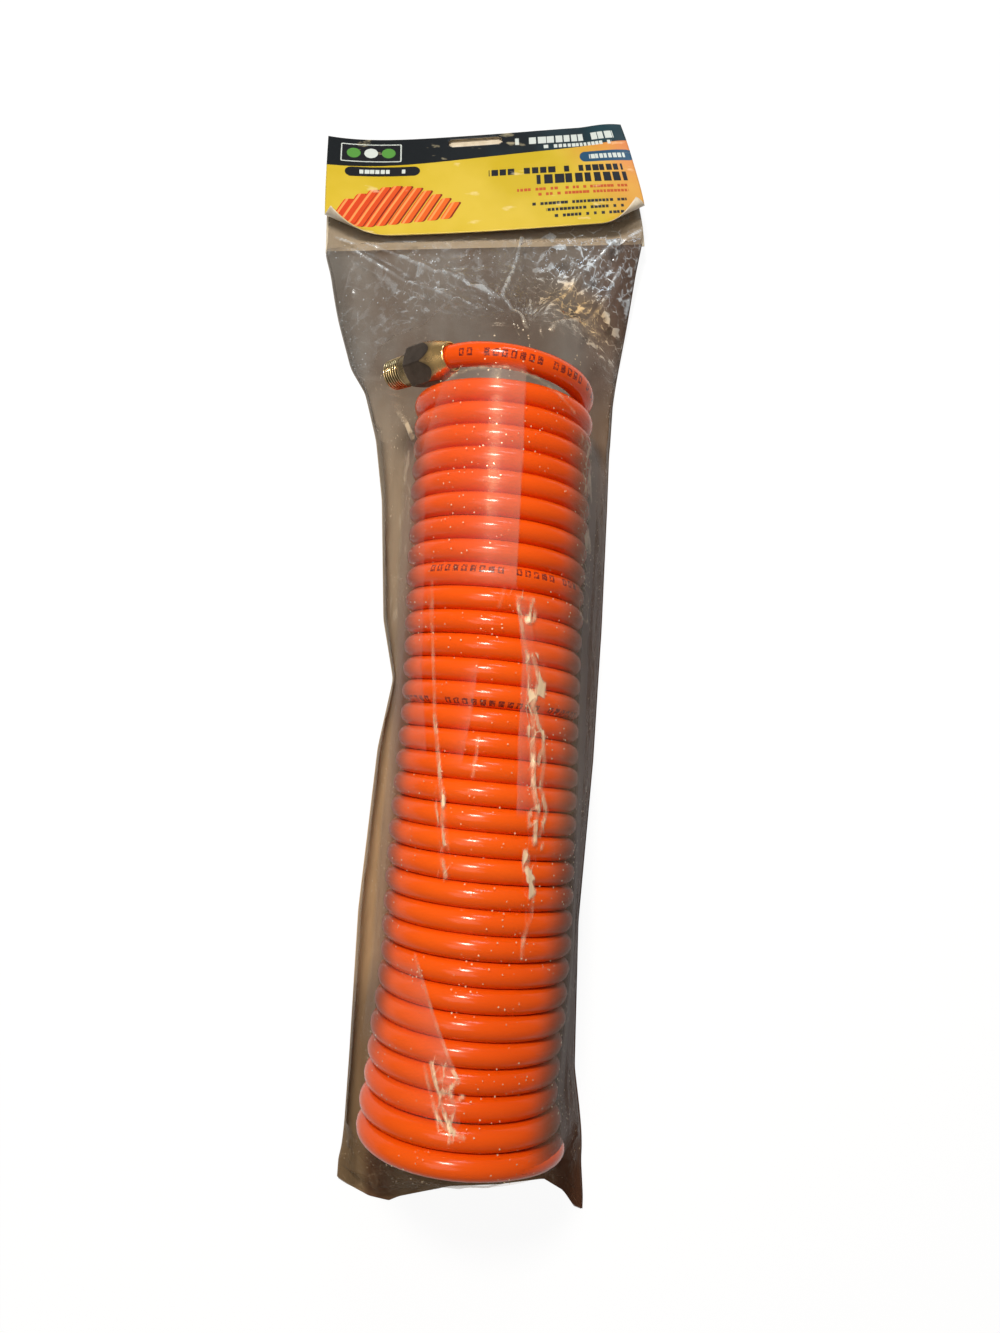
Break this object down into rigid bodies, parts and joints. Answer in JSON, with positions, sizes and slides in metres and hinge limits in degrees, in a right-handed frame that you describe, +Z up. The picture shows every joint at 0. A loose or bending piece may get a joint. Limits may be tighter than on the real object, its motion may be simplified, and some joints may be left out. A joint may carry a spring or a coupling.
{
  "type": "coiled air hose",
  "caption": "Close-wound recoil hose with swivelling male pipe threads at both ends, lying in a clear film bag closed by a folded card with a hang slot.",
  "frame": {"origin": "on the flat underside of the bag, below the middle of the coil", "axes": "+Y along the coil to the header card, +Z up from the resting face, +X to the right when the card is at the top of the view"},
  "size_m": [0.1661, 0.5283, 0.0875],
  "materials": {
    "hose": "glossy orange-red polyurethane tube, slightly translucent",
    "brass_body": "turned and milled brass with dull flats and a bright turned nose",
    "brass_stem": "turned brass with rolled thread, lightly tarnished",
    "spring_steel": "bright spring wire",
    "seal": "black nitrile rubber",
    "clear_film": "clear crinkled polyethylene film",
    "smoky_film": "clear film that shows a dim taupe ground behind it",
    "printed_card": "folded paperboard, yellow and black print under a light varnish"
  },
  "bodies": {
    "hose": {"hose_coil": "hose", "near_tail": "hose", "near_hose_end": "hose", "near_hex_body": "brass_body", "near_barbed_insert": "brass_body", "near_grip_sleeve": "brass_body", "near_retaining_ring": "spring_steel"},
    "near_stem": {"near_threaded_stem": "brass_stem", "near_seal_ring": "seal"},
    "far_end": {"far_tail": "hose", "far_hose_end": "hose", "far_hex_body": "brass_body", "far_barbed_insert": "brass_body", "far_grip_sleeve": "brass_body", "far_retaining_ring": "spring_steel"},
    "far_stem": {"far_threaded_stem": "brass_stem", "far_seal_ring": "seal"},
    "film_bag": {"bag_front_film": "clear_film", "bag_back_film": "smoky_film"},
    "card": {"header_card": "printed_card"}
  },
  "joints": [
    {"name": "near_swivel", "type": "hinge", "parent": "hose", "child": "near_stem", "pos_m": [0.00651, -0.16606, 0.01212], "axis": [-1, 0, 0], "continuous": true},
    {"name": "far_swivel", "type": "hinge", "parent": "far_end", "child": "far_stem", "pos_m": [-0.02266, 0.16606, 0.06958], "axis": [-0.7771, 0, -0.6293], "continuous": true},
    {"name": "coil_pull", "type": "slide", "parent": "hose", "child": "far_end", "axis": [0, 1, 0], "range_m": [0, 0.025], "stiffness_N_per_m": 3, "springref_m": -0.3},
    {"name": "bag_pull", "type": "slide", "parent": "hose", "child": "film_bag", "axis": [0, -1, 0], "range_m": [0, 0.56], "deforming": ["bag_front_film", "bag_back_film"]},
    {"name": "card_pull", "type": "slide", "parent": "hose", "child": "card", "axis": [-0.0785, 0.9969, 0], "range_m": [0, 0.08]}
  ]
}
